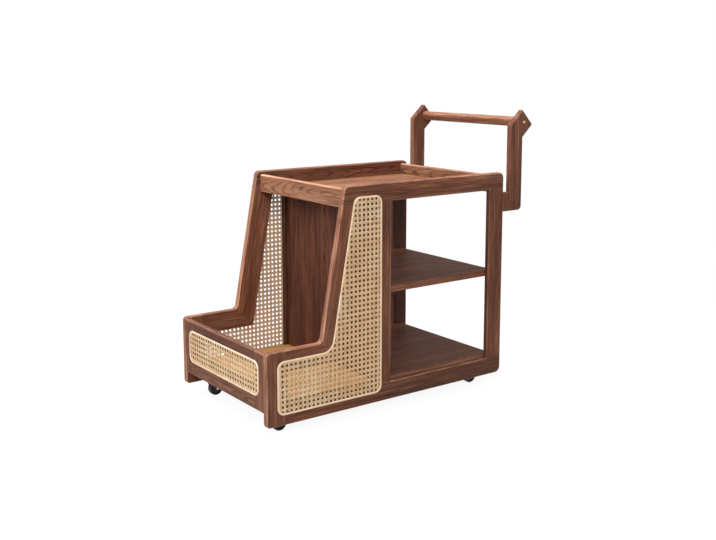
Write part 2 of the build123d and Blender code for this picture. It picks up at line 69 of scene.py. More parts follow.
# %% A socket that can do sums
class Wire:
    """One output socket of a material, with the signs of arithmetic."""

    def __init__(self, tree, socket=None):
        self.tree = tree
        self.socket = socket

    def make(self, kind, settings=None, inputs=None, output=0):
        """Any node: its type, its settings, then the values or links of its inputs."""
        node = self.tree.nodes.new("ShaderNode" + kind)
        for name, value in (settings or {}).items():
            if name == "stops":
                ramp = node.color_ramp
                while len(ramp.elements) < len(value):
                    ramp.elements.new(0.5)
                for element, (position, shade) in zip(ramp.elements, value):
                    element.position = position
                    element.color = shade
            else:
                setattr(node, name, value)
        for name, value in (inputs or {}).items():
            if isinstance(value, Wire):
                self.tree.links.new(value.socket, node.inputs[name])
            else:
                node.inputs[name].default_value = value
        return Wire(self.tree, node.outputs[output])

    def other(self, output):
        """Another output of the node that this wire comes from."""
        return Wire(self.tree, self.socket.node.outputs[output])

    def sums(self, operation, *values):
        return self.make("Math", {"operation": operation}, dict(enumerate(values)))

    def __add__(self, value):
        return self.sums("ADD", self, value)

    def __radd__(self, value):
        return self.sums("ADD", value, self)

    def __sub__(self, value):
        return self.sums("SUBTRACT", self, value)

    def __rsub__(self, value):
        return self.sums("SUBTRACT", value, self)

    def __mul__(self, value):
        return self.sums("MULTIPLY", self, value)

    def __rmul__(self, value):
        return self.sums("MULTIPLY", value, self)

    def __truediv__(self, value):
        return self.sums("DIVIDE", self, value)

    def __rtruediv__(self, value):
        return self.sums("DIVIDE", value, self)

    def fraction(self):
        return self.sums("FRACT", self)

    def root(self):
        return self.sums("SQRT", self)

    def size(self):
        return self.sums("ABSOLUTE", self)

    def largest(self, *values):
        """This value or a larger one of the others."""
        result = self
        for value in values:
            result = self.sums("MAXIMUM", result, value)
        return result

    def between(self, low, high):
        """0 below low, 1 above high, and a smooth step from one to the other."""
        settings = {"interpolation_type": "SMOOTHSTEP"}
        inputs = {"Value": self, "From Min": low, "From Max": high}
        return self.make("MapRange", settings, inputs)

    def mixed(self, first, second):
        """A colour from first, where this mask is 0, to second, where it is 1."""
        return self.make("Mix", {"data_type": "RGBA"}, {0: self, 6: first, 7: second}, 2)

    def tinted(self, tint):
        """This colour, with each of its channels multiplied by the tint's."""
        settings = {"data_type": "RGBA", "blend_type": "MULTIPLY"}
        return self.make("Mix", settings, {0: 1.0, 6: self, 7: tint}, 2)

    def dot(self, vector):
        """How far this vector reaches along another."""
        return self.make("VectorMath", {"operation": "DOT_PRODUCT"}, {0: self, 1: vector}, "Value")

    def away_from(self, point):
        """The arrow from a point to this place."""
        return self.make("VectorMath", {"operation": "SUBTRACT"}, {0: self, 1: point})

    def parts(self):
        """The three numbers of a vector."""
        first = self.make("SeparateXYZ", {}, {"Vector": self})
        return first, first.other("Y"), first.other("Z")


def colour(red, green, blue):
    """A colour as a screen shows it, 0 to 255, turned into the light that a shader works in."""
    def light(value):
        value /= 255
        return value / 12.92 if value <= 0.04045 else ((value + 0.055) / 1.055) ** 2.4
    return light(red), light(green), light(blue), 1.0


def grey(light):
    """A grey, as a share of white light."""
    return light, light, light, 1.0


print("white in light:", colour(255, 255, 255))

# %% [markdown]
# Every finish starts from the same three things: a material, its one shader, and the place on the
# object in metres, which stays the same when the piece turns or rolls. A number that is the same
# all over is set on the shader's own socket. What changes over a surface comes mostly from noise,
# stretched along the way that the stuff grew or was drawn.

# %% Start a finish
def new_finish(name, **numbers):
    """A material, its shader, and the wire that carries the place on the object."""
    material = bpy.data.materials.new(name)
    material.use_nodes = True
    shader = material.node_tree.nodes["Principled BSDF"]
    for key, value in numbers.items():
        shader.inputs[key.replace("_", " ").title().replace("Ior", "IOR")].default_value = value
    place = Wire(material.node_tree).make("TexCoord", output="Object")
    return material, shader, place


def drive(shader, socket, wire):
    wire.tree.links.new(wire.socket, shader.inputs[socket])


def grainy(place, patches, detail=2.0, shift=(0, 0, 0)):
    """Noise from 0 to 1: patches is how many go to a metre, one number or one for each axis."""
    scale = patches if isinstance(patches, tuple) else (patches, patches, patches)
    moved = place.make("Mapping", {}, {"Vector": place, "Location": shift, "Scale": scale})
    return place.make("TexNoise", {}, {"Vector": moved, "Scale": 1.0, "Detail": detail})


def bump(place, height, strength, distance):
    return place.make("Bump", {}, {"Height": height, "Strength": strength, "Distance": distance})


def dress(material, *names):
    """Gives a solid piece its finish, in every material slot that it has."""
    for name in names:
        mesh = nodes[name].data
        if not mesh.materials:
            mesh.materials.append(material)
        for index in range(len(mesh.materials)):
            mesh.materials[index] = material


print("helpers ready")

# %% [markdown]
# The boards are an open-grained hardwood, such as ash or oak, stained to a reddish walnut brown
# under a satin lacquer. A picture of wood could be laid on, but it would be stretched on every
# edge. Here the year rings are worked out in space, as distance from a heart line that leans a
# little against the board, so face, edge and end grain agree. A board whose face lay flat to the
# rings shows arches, and one that lay across them shows nearly straight lines.

# %% Year rings
SLANT = math.radians(10.5)
AXES["slant"] = Vector((math.sin(SLANT), 0, math.cos(SLANT)))
WANDER_ASIDE, WANDER_UP, RIPPLE = 50 * MM, 20 * MM, 5 * MM


class Sawn(NamedTuple):
    """Where the heart of its tree lay under and beside a board, how far it comes up in a metre of
    length, how wide the rings are, and how dark they came out."""
    below: float
    beside: float
    lean: float
    ring: float
    figure: float


ARCHED = Sawn(below=34 * MM, beside=4 * MM, lean=0.045, ring=2.6 * MM, figure=0.24)
STRAIGHT = Sawn(below=30 * MM, beside=85 * MM, lean=0.020, ring=2.9 * MM, figure=0.20)


def in_the_board(place, grain, face, middle):
    """The place as a sawyer sees it: along the grain, across the board, and up from its middle."""
    along, up = AXES[grain], AXES[face]
    turn = Matrix((along, up.cross(along), up))
    inputs = {"Vector": place, "Rotation": turn.to_euler(), "Location": -(turn @ middle)}
    return place.make("Mapping", {}, inputs)


def early_wood(board, sawn, seed, away):
    """1 in the porous wood that grew in each spring, falling to 0 through the summer."""
    along, across, up = board.parts()
    below = sawn.below + seed % 3 * 4 * MM
    wander = grainy(board, (1.5, 8, 8), 1.0, away) - 0.5
    ripple = grainy(board, (6, 50, 50), 2.0, away) - 0.5
    side = across + sawn.beside + wander * WANDER_ASIDE
    depth = up + along * sawn.lean + below + wander * WANDER_UP
    radius = (side * side + depth * depth).root() + ripple * RIPPLE
    ring = (radius / sawn.ring + 0.37 * seed).fraction()
    return (1.0 - ring.between(0.08, 0.50)) * ring.between(0.0, 0.06)


print("rings of", round(ARCHED.ring / MM, 1), "and", round(STRAIGHT.ring / MM, 1), "mm")

# %% [markdown]
# Sanding thins the stain where a board is rounded over, so its edges come out lighter, and there the
# lighter band is also a painted highlight, for the light that a rounded edge catches. The narrow faces
# of a board that look outwards are painted lighter as lit, while those that look inwards keep their
# shade. That could be painted on by hand. Here it's read off the shape: a rounded edge is where the
# surface turns from a board's wide face to its narrow one, and a face looks outwards where its normal
# points away from the middle of the object.

# %% Sanded edges, and painted highlights
HUB = (-0.05, 0, 0.12)
HANDLE_HUB = (0.344, 0, 0.40)
EDGE_SANDED_AND_LIT, OUTER_FACE_LIT = 0.42, 0.38


def sanded_and_lit(place, face, hub):
    """How much lighter a place is painted, 0 to 1: thinned stain and a painted highlight on rounded
    edges, and painted light on narrow faces that look outwards.
    """
    flat = place.make("NewGeometry", output="True Normal")
    wide = flat.dot(AXES[face]).size()
    narrow = 1.0 - wide
    edge = (wide * narrow * 4.0).between(0.1, 0.7)
    outwards = place.away_from(hub).dot(flat).between(0, 0.002)
    return edge * EDGE_SANDED_AND_LIT + narrow * outwards * OUTER_FACE_LIT


print("edges up to", EDGE_SANDED_AND_LIT, "lighter, outer faces up to", OUTER_FACE_LIT)

# %% [markdown]
# The colour of the wood is one number, from the darkest stain to nearly bare wood, looked up in a
# ramp. Rings, fibres, streaks and broad patches each move it a little. The stain also gathers in
# the open pores of the early wood, which gives the short dark lines, and they are a little sunk.

# %% Walnut stain
STAIN = [(0.0, (52, 30, 23)), (0.34, (94, 58, 44)), (0.58, (126, 82, 62)), (1.0, (188, 137, 106))]
MIDDLE_BROWN = 0.56
FIBRE, STREAK, PATCH = 0.90, 0.62, 0.46
PORE, PORE_SHARE = colour(48, 27, 21), 0.70
WARM, COOL = (1.03, 0.97, 0.93, 1), (0.98, 1.03, 1.03, 1)
THINNED_AND_LIT = (3.1, 3.7, 4.2, 1)
# Painted light: these honey colours stand in for the light on the floor of the bin.
LIT_HONEY, DARKER_LIT_HONEY = colour(216, 162, 104), colour(196, 140, 82)


class Look(NamedTuple):
    """One board: the way of its grain and of its wide face, how light it is, how much its edges are
    sanded and painted highlit, and how it's worked.
    """
    grain: str
    face: str
    tone: float
    sawn: Sawn = STRAIGHT
    wear_and_highlight: float = 1.0
    lively: float = 1.0
    gloss: float = 0.12


def walnut(name, look, middle, hub, seed, painted_light_before):
    """Stained hardwood. Before a given place along the board, if there is one, it's painted a light
    honey colour instead, which stands for the light that falls there.
    """
    material, shader, place = new_finish(name, specular_ior_level=look.gloss)
    board = in_the_board(place, look.grain, look.face, middle)
    away = (0.83 * seed, 0.31 * seed, 0.57 * seed)
    fibre = grainy(board, (16, 520, 520), 3.0, away) - 0.5
    streak = grainy(board, (5, 120, 120), 3.0, away) - 0.5
    patch = grainy(board, (3, 16, 16), 2.0, away) - 0.5
    pores = grainy(board, (60, 1700, 1700), 2.0, away)
    early = early_wood(board, look.sawn, seed, away)
    strong = grainy(board, (4, 30, 30), 1.0, (0.2 + seed, 0.4, 0.9)).between(0.25, 0.70)
    redder = grainy(board, (2, 11, 30), 1.0, (1.7, 0.3 + seed, 0.9)).between(0.35, 0.68)

    fine = (fibre * FIBRE + streak * STREAK) * look.lively
    light = MIDDLE_BROWN + look.tone - early * strong * look.sawn.figure + fine + patch * PATCH
    stops = [(stop, colour(*rgb)) for stop, rgb in STAIN]
    wood = light.make("ValToRGB", {"stops": stops}, {"Fac": light})
    wood = wood.tinted(redder.mixed(WARM, COOL))
    # Painted highlight: rounded edges and outward narrow faces turn lighter, partly as sanded stain and
    # partly as the light they would catch.
    wood = (sanded_and_lit(place, look.face, hub) * look.wear_and_highlight).mixed(wood, wood.tinted(THINNED_AND_LIT))
    open_pores = pores.between(0.50, 0.64) * (early * 0.80 + 0.20)
    wood = (open_pores * PORE_SHARE).mixed(wood, PORE)
    # Painted light: before the divider the floor board is a light honey colour, for the light that falls
    # into the bin from above.
    if painted_light_before is not None:
        along = board.parts()[0]
        stained = along.between(painted_light_before - 0.2 * MM, painted_light_before + 0.2 * MM)
        wood = stained.mixed((0.5 + fibre + streak).mixed(LIT_HONEY, DARKER_LIT_HONEY), wood)

    drive(shader, "Base Color", wood)
    drive(shader, "Roughness", 0.50 + open_pores * 0.2 + fibre * 0.15)
    drive(shader, "Normal", bump(place, fibre * 0.5 - open_pores, 0.30, 0.22 * MM))
    return material


print(len(STAIN), "stops in the stain")

# %% [markdown]
# No two boards of a table come out alike, so each has a finish of its own: its grain runs along it, its
# tone is its own, and its place in the list moves its noise. The floor board runs through under the bin,
# and there, as far as the divider, it's painted a light honey colour that stands in for the light
# falling into the bin from above.

# %% Stained boards
SIDE_BOARDS = {
    "bottom_rail": Look("x", "y", -0.16),
    "low_rail": Look("x", "y", -0.02),
    "top_rail": Look("x", "y", -0.04),
    "front_post": Look("z", "y", 0.0),
    "mid_post": Look("z", "y", -0.08, wear_and_highlight=0.3),
    "rear_post": Look("z", "y", -0.06, wear_and_highlight=0.3),
    "handle_arm": Look("z", "y", -0.02, wear_and_highlight=0.4),
    "panel_stile": Look("z", "x", -0.06),
    "slant_post": Look("slant", "y", 0.02),
}
CROSS_BOARDS = {
    "divider": Look("z", "x", -0.19, ARCHED),
    "floor_board": Look("x", "z", -0.06, lively=0.6, gloss=0.03),
    "middle_shelf": Look("x", "z", -0.04, wear_and_highlight=0.5, lively=0.6, gloss=0.03),
    "tray_board": Look("x", "z", 0.22, gloss=0.03),
    "front_cross_rail": Look("y", "x", 0.22, ARCHED, wear_and_highlight=1.3),
    "rear_cross_rail": Look("y", "x", 0.16, ARCHED),
    "front_caster_batten": Look("y", "z", -0.1),
    "rear_caster_batten": Look("y", "z", -0.1),
    "handle_bar": Look("y", "x", 0.08, wear_and_highlight=0.9),
    "panel_bottom_rail": Look("y", "x", -0.06, ARCHED),
    "panel_top_rail": Look("y", "x", -0.20),
}
# The far side's mid and rear posts, which close the backs of the bays, come out much darker than their
# twins, and its slanted post a little lighter.
UNLIKE_THEIR_TWIN = {
    "left_handle_arm": {"tone": -0.09},
    "right_handle_arm": {"tone": -0.02},
    "right_mid_post": {"tone": -0.28},
    "right_rear_post": {"tone": -0.18},
    "right_slant_post": {"tone": 0.07},
    "right_top_rail": {"sawn": ARCHED},
}
boards = {f"{side}_{board}": look for side in ("left", "right") for board, look in SIDE_BOARDS.items()}
boards.update(CROSS_BOARDS)
for board, change in UNLIKE_THEIR_TWIN.items():
    boards[board] = boards[board]._replace(**change)

divider_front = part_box("divider")[0].x
for seed, (board, look) in enumerate(boards.items()):
    low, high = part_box(board)
    middle = (low + high) / 2
    hub = HANDLE_HUB if "handle" in board else HUB
    painted_light_before = divider_front - middle.x if board == "floor_board" else None
    dress(walnut("walnut_" + board, look, middle, hub, seed, painted_light_before), board)
print(len(boards), "boards finished")

# %% [markdown]
# Beech tenons hold the frames together inside the joints. They are hidden, and stay bare wood with
# the short dark flecks that beech has.

# %% Beech tenons
def beech():
    material, shader, place = new_finish("raw_beech", roughness=0.6)
    fleck = grainy(place, (700, 700, 160), 1.0).between(0.60, 0.70)
    tint = grainy(place, 30.0, 3.0).mixed(colour(208, 170, 128), colour(190, 148, 106))
    drive(shader, "Base Color", (fleck * 0.5).mixed(tint, colour(150, 105, 72)))
    return material


BEECH = beech()
for side in ("left", "right"):
    dress(BEECH, f"{side}_knee_tenon", f"{side}_loose_tenons")
print("tenons finished")

# %% [markdown]
# Every shape that isn't a solid of the model is made here from a list of corners and a list of faces.
# That is plainer than a stack of modifiers, and the mesh is just what is seen.

# %% Make a piece
def new_piece(name, verts, faces, flip=False, crisp=None):
    """A smooth mesh in the scene. With crisp, its faces are turned outwards, and edges that are
    sharper than so many degrees stay sharp."""
    mesh = bpy.data.meshes.new(name)
    mesh.from_pydata(verts, [], [face[::-1] for face in faces] if flip else faces)
    if crisp:
        form = bmesh.new()
        form.from_mesh(mesh)
        bmesh.ops.recalc_face_normals(form, faces=form.faces)
        form.to_mesh(mesh)
        form.free()
    mesh.polygons.foreach_set("use_smooth", [True] * len(mesh.polygons))
    if crisp:
        mesh.set_sharp_from_angle(angle=math.radians(crisp))
    piece = bpy.data.objects.new(name, mesh)
    bpy.context.scene.collection.objects.link(piece)
    return piece


print("ready to make pieces")

# %% [markdown]
# Cane and reed both follow the rounded outline of a panel: the two sides have the stepped shape of
# their frame, and the front is a plain rectangle. One function draws such an outline at any inset,
# from its corners and their radii, and another finds where a straight strand is inside it.

# %% The outline of a panel
def inset_outline(corners, radii, inset, step=math.radians(7)):
    """A closed outline with rounded corners, moved inwards. Corners run counter-clockwise."""
    count = len(corners)
    points = []
    for index in range(count):
        before, here, after = (Vector(corners[(index + k) % count]) for k in (-1, 0, 1))
        come, go = (here - before).normalized(), (after - here).normalized()
        turn = math.atan2(come.x * go.y - come.y * go.x, come.dot(go))
        left_in, left_out = Vector((-come.y, come.x)), Vector((-go.y, go.x))
        corner = here + (left_in + left_out) * (inset / (1 + left_in.dot(left_out)))
        radius = radii[index] - inset if turn > 0 else radii[index] + inset
        back = radius * math.tan(abs(turn) / 2)
        start = corner - come * back
        centre = start + left_in * (radius if turn > 0 else -radius)
        pieces = max(2, math.ceil(abs(turn) / step))
        for piece in range(pieces + 1):
            arm = start - centre
            arm.rotate(Matrix.Rotation(turn * piece / pieces, 2))
            points.append(centre + arm)
    return points


def spans(points, start, direction):
    """Where a straight line is inside the outline: pairs of distances from its start."""
    across = Vector((-direction.y, direction.x))
    hits = []
    for index, first in enumerate(points):
        second = points[(index + 1) % len(points)]
        d1, d2 = (first - start).dot(across), (second - start).dot(across)
        if (d1 > 0) != (d2 > 0):
            hit = first.lerp(second, d1 / (d1 - d2))
            hits.append((hit - start).dot(direction))
    hits.sort()
    return list(zip(hits[::2], hits[1::2]))


def extent(points):
    """The lowest and the highest corner round the points."""
    low = Vector((min(p.x for p in points), min(p.y for p in points)))
    high = Vector((max(p.x for p in points), max(p.y for p in points)))
    return low, high


print("a square of 1 m is crossed at", spans([Vector(p) for p in ((0, 0), (1, 0), (1, 1), (0, 1))],
                                             Vector((-1, 0.5)), Vector((1, 0))))

# %% [markdown]
# A panel is made flat, as (across, up, out), and then stood on the table by a matrix. So the left
# side, the right side and the front share all the code that follows. The openings are as large as
# the boxes of the reeds in the solid model, and only the step of the side is measured here.

# %% The three panels
PITCH = 11.63 * MM
KNEE = 176 * MM
SLANT_FOOT = Vector((-252.614 * MM, 199 * MM))
ACROSS_POST = 30.5 * MM
CORNER, KNEE_CORNER = 18 * MM, 28 * MM
FIRST_HOLE = (-357.51 * MM, 59.7 * MM)
FRONT_CROSSING = (0.0, 135.5 * MM)


class Panel(NamedTuple):
    """A cane panel: its opening, a crossing of its weave, and how it stands on the table."""
    piece: str
    corners: list
    radii: list
    crossing: tuple
    along: Vector
    out: Vector
    plane: float

    def outline(self, inset):
        return inset_outline(self.corners, self.radii, inset)

    def stand(self):
        """The matrix that turns (across, up, out) into a place on the table."""
        turn = Matrix((self.along, AXES["z"], self.out)).transposed().to_4x4()
        turn.translation = self.out * self.plane
        return turn

    def mirrored(self):
        """Whether that matrix turns a mesh inside out."""
        return self.along.cross(AXES["z"]).dot(self.out) < 0


def slant_x(z):
    """The front edge of the leaning post, at a height."""
    return SLANT_FOOT.x + (z - SLANT_FOOT.y) * math.tan(SLANT)


low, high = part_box("left_webbing_spline")
inner = [slant_x(z) + ACROSS_POST for z in (high.z, KNEE)]
SIDE_CORNERS = [(low.x, low.z), (high.x, low.z), (high.x, high.z), (inner[0], high.z),
                (inner[1], KNEE), (low.x, KNEE)]
SIDE_RADII = [CORNER] * 4 + [KNEE_CORNER, CORNER]
SIDE_CROSSING = tuple(place + PITCH / 2 for place in FIRST_HOLE)
side_plane = -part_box("left_front_post")[0].y
low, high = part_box("panel_webbing_spline")
FRONT_CORNERS = [(low.y, low.z), (high.y, low.z), (high.y, high.z), (low.y, high.z)]
front_plane = -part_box("panel_top_rail")[0].x
X, Y = AXES["x"], AXES["y"]
PANELS = {
    "left_webbing": Panel("left", SIDE_CORNERS, SIDE_RADII, SIDE_CROSSING, X, -Y, side_plane),
    "right_webbing": Panel("right", SIDE_CORNERS, SIDE_RADII, SIDE_CROSSING, X, Y, side_plane),
    "panel_webbing": Panel("front", FRONT_CORNERS, [CORNER] * 4, FRONT_CROSSING, Y, -X, front_plane),
}
for node, panel in PANELS.items():
    print(node, "outline:", len(panel.outline(0)), "points")

# %% [markdown]
# The panels are rattan cane, woven by machine in the old six-way pattern: pairs of strands across
# and up, and one strand along each diagonal, which together leave eight-sided holes. A see-through
# picture of a weave would look flat from near, so each strand is made as a thin lens-shaped strip
# that really passes over and under the others. The heights follow sine waves with the pitch of
# the weave, so at every crossing one strand is up where the other is down.

# %% Weave the cane
PAIR = 2.85 * MM
STRAND = 2.1 * MM
THICK = 0.55 * MM
RISE = 0.30 * MM
LIFT = 0.58 * MM
CANE_OUT = 0.88 * MM
CANE_INSET = 2.75 * MM
SAMPLES = 6
TURN = 2 * math.pi / PITCH
UV_MARGIN = 0.004


def weave_lines(points, crossing):
    """Every strand of a panel as a start, a direction, and its height as it goes along."""
    low, high = extent(points)
    first = [math.floor((low[k] - crossing[k]) / PITCH) - 1 for k in (0, 1)]
    last = [math.ceil((high[k] - crossing[k]) / PITCH) + 1 for k in (0, 1)]
    for sign in (-1, 1):
        for i in range(first[0], last[0]):
            start = Vector((crossing[0] + i * PITCH + sign * PAIR / 2, crossing[1]))
            yield start, Vector((0, 1)), lambda s, n=sign: n * RISE * math.sin(s * TURN)
        for j in range(first[1], last[1]):
            start = Vector((crossing[0], crossing[1] + j * PITCH + sign * PAIR / 2))
            yield start, Vector((1, 0)), lambda s, n=sign: -n * RISE * math.sin(s * TURN)
    reach = last[0] - first[0] + last[1] - first[1]
    slope = math.sqrt(0.5)
    for m in range(-reach, reach):
        start = Vector((crossing[0], crossing[1] + (m + 0.5) * PITCH))
        yield start, Vector((slope, slope)), lambda s: LIFT * math.cos(s * slope * TURN)
        yield start, Vector((slope, -slope)), lambda s: -LIFT * math.cos(s * slope * TURN)


def strand_stops(begin, end, direction):
    """Distances at which a strand gets a section: its two ends and the even steps between."""
    step = PITCH / SAMPLES / max(abs(direction.x), abs(direction.y))
    inner = range(math.ceil(begin / step + 0.2), math.floor(end / step - 0.2) + 1)
    return [begin] + [k * step for k in inner] + [end]


def strand(start, direction, stops, height):
    """The corners of one strand, four to a section: its two edges, its crown and its belly."""
    side = Vector((-direction.y, direction.x)) * (STRAND / 2)
    middle = Vector((0, 0))
    for s in stops:
        spot, h = start + direction * s, CANE_OUT + height(s)
        for aside, up in ((side, 0), (middle, THICK / 2), (-side, 0), (middle, -THICK / 2)):
            yield (*(spot + aside), h + up)


def strand_faces(base, sections):
    """The faces of one strand, with its two ends closed."""
    for k in range(sections - 1):
        for c in range(4):
            a, b = base + 4 * k + c, base + 4 * k + (c + 1) % 4
            yield a, b, b + 4, a + 4
    last = base + 4 * (sections - 1)
    yield base + 3, base + 2, base + 1, base
    yield last, last + 1, last + 2, last + 3


def weave(name, panel):
    """The woven panel as one mesh, with its flat places kept as the layout for baking."""
    points = panel.outline(CANE_INSET)
    verts, faces = [], []
    for start, direction, height in weave_lines(points, panel.crossing):
        for begin, end in spans(points, start, direction):
            if end - begin >= STRAND:
                stops = strand_stops(begin, end, direction)
                faces += strand_faces(len(verts), len(stops))
                verts += strand(start, direction, stops, height)
    piece = new_piece(name, verts, faces, panel.mirrored())
    mesh = piece.data
    mesh.transform(panel.stand())
    low, high = extent(points)
    size = max(high - low) + 10 * MM
    layer = mesh.uv_layers.new(name="OFBake")
    for loop in mesh.loops:
        spot = (Vector(verts[loop.vertex_index][:2]) - low) / size
        layer.data[loop.index].uv = [min(max(share + UV_MARGIN, 0), 1) for share in spot]
    print(name, len(mesh.polygons) * 2, "triangles")
    return piece


canes = {node: weave(panel.piece + "_cane", panel) for node, panel in PANELS.items()}

# %% [markdown]
# The strands are the outer skin of the rattan stem, cut in strips. It's naturally hard and glossy, pale
# straw in colour, with tan patches where the stem had its leaf joints. Their inner side, which looks
# into the bin, is painted golden brown, for light that shines through the strands from behind. Deep in
# the weave the skin is painted darker, as shade, by how far out a place lies and not by a light that
# would have to be baked.

# %% Natural cane
def cane(name, outwards, plane):
    """The shiny skin looks outwards. The side that looks into the bin is painted golden brown, for light
    shining through the strands from behind.
    """
    material, shader, place = new_finish(name, coat_weight=0.10, coat_roughness=0.3)
    broad = grainy(place, 9.0, 3.0)
    upright = grainy(place, (330, 330, 14))
    across = grainy(place, (14, 14, 330), 2.0, (0.3, 0.3, 0.3))
    joints = grainy(place, (170, 170, 60), 1.0, (0.1, 0.5, 0.2)).between(0.62, 0.72)
    straw = broad.between(0.3, 0.7).mixed(colour(255, 231, 190), colour(252, 215, 166))
    aged = (upright * 0.5 + across * 0.5).between(0.42, 0.62).mixed(straw, colour(232, 188, 138))
    skin = (joints * 0.45).mixed(aged, colour(190, 142, 92))
    # Painted shade: the lower a place lies in the weave, the darker its skin.
    painted_depth_shade = 1.0 - (place.dot(outwards) - plane).between(0.2 * MM, 1.2 * MM)
    skin = painted_depth_shade.mixed(skin, colour(112, 70, 40))
    # Painted light: the inner side is golden brown, as if lit through the strands from behind.
    inside = broad.between(0.3, 0.7).mixed(colour(222, 172, 108), colour(206, 154, 90))
    normal = place.make("NewGeometry", output="True Normal")
    drive(shader, "Base Color", normal.dot(outwards).between(-0.1, 0.1).mixed(inside, skin))
    drive(shader, "Roughness", 0.40 + broad * 0.12)
    drive(shader, "Normal", bump(place, grainy(place, 2500.0), 0.15, 0.1 * MM))
    return material


for node, piece in canes.items():
    panel = PANELS[node]
    piece.data.materials.append(cane("natural_cane_" + node.split("_")[0], panel.out, panel.plane))
    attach(piece, "table")
    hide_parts(node)
print("cane finished")

# %% [markdown]
# A round reed is hammered into the groove over the edge of the cane, and keeps it tight. It's
# bought as a coil of split cane core, so it's paler and duller than the strands. A curve with a
# round section would do, but its joint would show. Here each reed is a ring of round sections,
# swept along its outline and closed on itself, and each section is a little uneven.

# %% Reed in the grooves
REED = 2.75 * MM
REED_BACK = 0.8 * MM
REED_SIDES = 14
REED_RUN = 20 * MM
REED_EVEN, REED_UNEVEN, REED_LUMPS = 0.985, 0.012, 60
SAME_PLACE = 1e-7


def long_runs(points):
    """Adds points on the straight runs, so that the reed can be uneven along them."""
    full = []
    for index, here in enumerate(points):
        after = points[(index + 1) % len(points)]
        parts = max(1, round((after - here).length / REED_RUN))
        full += [here.lerp(after, k / parts) for k in range(parts)]
    return full


def inwards(points):
    """Each point of an outline with the way in from it. Points that coincide count once."""
    for index, here in enumerate(points):
        come, go = here - points[index - 1], points[(index + 1) % len(points)] - here
        if come.length < SAME_PLACE:
            continue
        direction = come.normalized()
        if go.length > SAME_PLACE:
            direction = (direction + go.normalized()).normalized()
        yield here, Vector((-direction.y, direction.x))


def reed(name, panel):
    """A tube along the outline of a panel."""
    verts, faces = [], []
    sections = list(inwards(long_runs(panel.outline(REED))))
    for here, inward in sections:
        lump = noise.noise(Vector((here.x * REED_LUMPS, here.y * REED_LUMPS, 0.3)))
        size = REED * (REED_EVEN + REED_UNEVEN * lump)
        for k in range(REED_SIDES):
            angle = 2 * math.pi * k / REED_SIDES
            spot = here + inward * (size * math.cos(angle))
            verts.append((*spot, size * math.sin(angle) - REED_BACK))
    for n in range(len(sections)):
        here, after = n * REED_SIDES, (n + 1) % len(sections) * REED_SIDES
        for k in range(REED_SIDES):
            beside = (k + 1) % REED_SIDES
            faces.append((here + k, here + beside, after + beside, after + k))
    piece = new_piece(name, verts, faces, panel.mirrored())
    piece.data.transform(panel.stand())
    print(name, len(piece.data.polygons), "faces")
    return piece


reeds = {node + "_spline": reed(panel.piece + "_reed", panel) for node, panel in PANELS.items()}

# %% [markdown]
# Cane core is pith: it has no skin, so it's matt and full of tiny pores. Fine noise gives the pores
# both their tan colour and their depth.

# %% Pale reed
def pale_reed():
    material, shader, place = new_finish("pale_reed", roughness=0.55)
    pith = grainy(place, 900.0)
    pale = grainy(place, 40.0).between(0.35, 0.65).mixed(colour(252, 226, 196), colour(246, 210, 172))
    drive(shader, "Base Color", (pith.between(0.5, 0.75) * 0.35).mixed(pale, colour(216, 176, 136)))
    drive(shader, "Normal", bump(place, pith, 0.3, 0.15 * MM))
    return material


REED_FINISH = pale_reed()
for node, piece in reeds.items():
    piece.data.materials.append(REED_FINISH)
    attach(piece, "table")
    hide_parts(node)
print("reeds finished")

# %% [markdown]
# The casters are small furniture casters: a stamped fork of black-plated steel, and a
# turned wheel of hard black nylon. A wheel is a shape of revolution, so its outline is drawn
# once and spun: a rounded tread, a dished face, and a hub that stands out beside the fork.

# %% Spin the wheels
WHEEL = [(2.6, -8.5), (6.2, -8.5), (6.6, -6.4), (12.6, -6.2), (13.5, -8.3), (15.6, -8.3), (17.5, -5.6),
         (17.5, 5.6), (15.6, 8.3), (13.5, 8.3), (12.6, 6.2), (6.6, 6.4), (6.2, 8.5), (2.6, 8.5)]
WHEEL_ROUNDING = 0.9 * MM
ON_EDGE = Matrix.Rotation(math.pi / 2, 3, "X")
CASTERS = [f"{end}_{side}" for end in ("front", "rear") for side in ("left", "right")]


def rounded(points, radius, steps=5):
    """A closed outline of (radius, height) corners with each corner rounded off."""
    full = []
    for index, corner in enumerate(points):
        here, before = Vector(corner), Vector(points[index - 1])
        after = Vector(points[(index + 1) % len(points)])
        reach = min(radius, (here - before).length / 2.1, (after - here).length / 2.1)
        first = here + (before - here).normalized() * reach
        second = here + (after - here).normalized() * reach
        for k in range(steps + 1):
            t = k / steps
            full.append(first.lerp(here, t).lerp(here.lerp(second, t), t))
    return [(p.x, p.y) for p in full]


def spin(name, outline, turn, place, segments=64):
    """A closed outline of (radius, height) pairs, spun round an axis at a place."""
    verts, faces = [], []
    count = len(outline)
    for s in range(segments):
        angle = 2 * math.pi * s / segments
        for radius, height in outline:
            spot = Vector((radius * math.cos(angle), radius * math.sin(angle), height))
            verts.append(turn @ spot + place)
        here, after = s * count, (s + 1) % segments * count
        for k in range(count):
            beside = (k + 1) % count
            faces.append((here + k, here + beside, after + beside, after + k))
    return new_piece(name, verts, faces, crisp=35)


wheel_outline = rounded([(r * MM, h * MM) for r, h in WHEEL], WHEEL_ROUNDING)
wheels = {}
for caster in CASTERS:
    low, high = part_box(caster + "_caster_wheel")
    wheels[caster] = spin(caster + "_wheel", wheel_outline, ON_EDGE, (low + high) / 2)
print(len(wheels), "wheels")

# %% [markdown]
# Nylon shines through a fine film of dust. Zinc is plated in a bath, which leaves faint clouds, on
# steel that keeps the marks of rolling. It's bright on the plates and axles, and turned black on
# the forks. The handle's screws are satin brass. Metals need no paint here: a metallic shader with
# the right colour mirrors the studio, and the clouds and marks only change how sharply.

